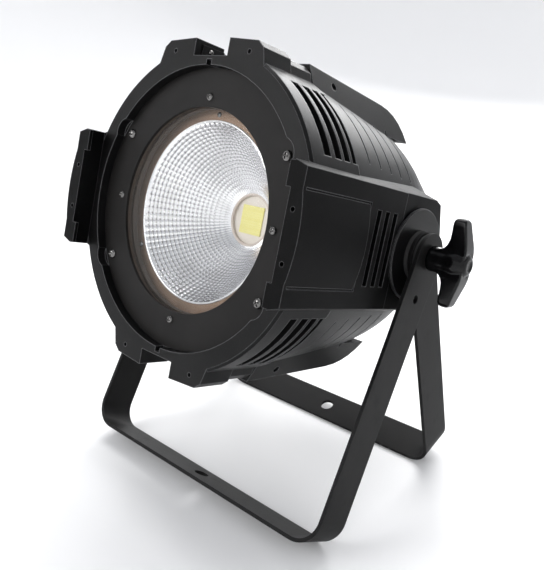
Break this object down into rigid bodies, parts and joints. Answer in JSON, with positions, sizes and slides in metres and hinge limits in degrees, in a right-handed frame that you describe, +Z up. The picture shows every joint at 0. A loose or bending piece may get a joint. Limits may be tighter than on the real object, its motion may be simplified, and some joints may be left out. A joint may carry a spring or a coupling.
{
  "type": "par can light",
  "caption": "LED par light with a faceted reflector in a slotted cast housing, tilting on a double yoke that opens into a floor stand, clamped by wing knobs.",
  "frame": {"origin": "bottom centre of the standing light's box, on the floor", "axes": "+Z up, -Y the way the light points, +X the light's left-hand side as it points"},
  "size_m": [0.3356, 0.2954, 0.3665],
  "materials": {
    "cast_black": "die-cast aluminium with satin black powder coat",
    "sheet_black": "bent steel bar with satin black powder coat",
    "bezel_black": "pressed aluminium ring with satin black paint",
    "screw_steel": "bright zinc-plated steel",
    "clear_glass": "clear tempered glass",
    "black_rubber": "moulded black rubber",
    "trim_brown": "brushed aluminium plate, dark in the shade",
    "reflector_silver": "bright anodised faceted aluminium",
    "holder_white": "pale heat-resistant plastic",
    "phosphor": "matt yellow phosphor",
    "led_board": "pale ceramic-coated aluminium",
    "raw_aluminium": "plain extruded aluminium",
    "black_plastic": "moulded black plastic",
    "knob_plastic": "glossy black moulded plastic",
    "brass": "turned brass",
    "fibre": "black fibre friction washer",
    "panel_black": "flat aluminium panel with fine black coat",
    "display_glass": "dark gloss acrylic window",
    "circuit_board": "green circuit board",
    "button_grey": "grey moulded plastic",
    "connector_metal": "black-plated die-cast shell"
  },
  "bodies": {
    "stand": {"front_yoke": "sheet_black", "outer_washers": "fibre"},
    "rear_stand": {"rear_yoke": "sheet_black"},
    "head": {"front_ring": "cast_black", "main_housing": "cast_black", "rear_cap": "cast_black", "front_bezel": "bezel_black", "bezel_screws": "screw_steel", "cover_screws": "screw_steel", "front_glass": "clear_glass", "glass_gasket": "black_rubber", "trim_plate": "trim_brown", "trim_screws": "screw_steel", "reflector": "reflector_silver", "led_holder": "holder_white", "led_emitter": "phosphor", "led_substrate": "led_board", "heat_sink": "raw_aluminium", "fan_frame": "black_plastic", "power_supply": "raw_aluminium", "side_cover_left": "cast_black", "side_cover_right": "cast_black", "pivot_block_left": "cast_black", "pivot_block_right": "cast_black", "pivot_disc_left": "cast_black", "pivot_disc_right": "cast_black", "thread_inserts": "brass", "inner_washers": "fibre", "rear_panel": "panel_black", "rear_panel_screws": "screw_steel", "display_window": "display_glass", "control_board": "circuit_board", "dmx_inlet": "connector_metal", "dmx_pins": "screw_steel", "dmx_outlet": "connector_metal", "power_inlet": "black_plastic", "power_pins": "screw_steel", "power_outlet": "black_plastic", "fuse_holder": "black_plastic", "safety_eye": "screw_steel", "clip_plate": "screw_steel", "clip_screw": "screw_steel"},
    "fan": {"fan_rotor": "black_plastic"},
    "menu_button": {"button_menu": "button_grey"},
    "down_button": {"button_down": "button_grey"},
    "up_button": {"button_up": "button_grey"},
    "enter_button": {"button_enter": "button_grey"},
    "latch": {"dmx_latch": "screw_steel"},
    "fuse": {"fuse_cap": "black_plastic"},
    "left_knob": {"knob_left": "knob_plastic", "knob_bolt_left": "screw_steel"},
    "right_knob": {"knob_right": "knob_plastic", "knob_bolt_right": "screw_steel"}
  },
  "joints": [
    {"name": "head_tilt", "type": "hinge", "parent": "stand", "child": "head", "pos_m": [0, 0.01497, 0.21127], "axis": [1, 0, 0], "range_deg": [-75, 105]},
    {"name": "yoke_fold", "type": "hinge", "parent": "stand", "child": "rear_stand", "pos_m": [0, 0.01497, 0.21127], "axis": [1, 0, 0], "range_deg": [-47, 133]},
    {"name": "left_knob_turn", "type": "hinge", "parent": "head", "child": "left_knob", "pos_m": [0, 0.01497, 0.21127], "axis": [-1, 0, 0], "continuous": true},
    {"name": "right_knob_turn", "type": "hinge", "parent": "head", "child": "right_knob", "pos_m": [0, 0.01497, 0.21127], "axis": [1, 0, 0], "continuous": true},
    {"name": "fan_spin", "type": "hinge", "parent": "head", "child": "fan", "pos_m": [0, 0.00966, 0.2127], "axis": [0, 0.9659, -0.2588], "continuous": true},
    {"name": "menu_press", "type": "slide", "parent": "head", "child": "menu_button", "axis": [0, -0.9659, 0.2588], "range_m": [0, 0.0008], "stiffness_N_per_m": 400, "springref_m": -0.0012},
    {"name": "down_press", "type": "slide", "parent": "head", "child": "down_button", "axis": [0, -0.9659, 0.2588], "range_m": [0, 0.0008], "stiffness_N_per_m": 400, "springref_m": -0.0012},
    {"name": "up_press", "type": "slide", "parent": "head", "child": "up_button", "axis": [0, -0.9659, 0.2588], "range_m": [0, 0.0008], "stiffness_N_per_m": 400, "springref_m": -0.0012},
    {"name": "enter_press", "type": "slide", "parent": "head", "child": "enter_button", "axis": [0, -0.9659, 0.2588], "range_m": [0, 0.0008], "stiffness_N_per_m": 400, "springref_m": -0.0012},
    {"name": "latch_press", "type": "slide", "parent": "head", "child": "latch", "axis": [0, -0.9659, 0.2588], "range_m": [0, 0.0012], "stiffness_N_per_m": 400, "springref_m": -0.0012},
    {"name": "fuse_turn", "type": "hinge", "parent": "head", "child": "fuse", "pos_m": [0, 0.12205, 0.1743], "axis": [0, 0.9659, -0.2588], "range_deg": [-45, 0]}
  ]
}
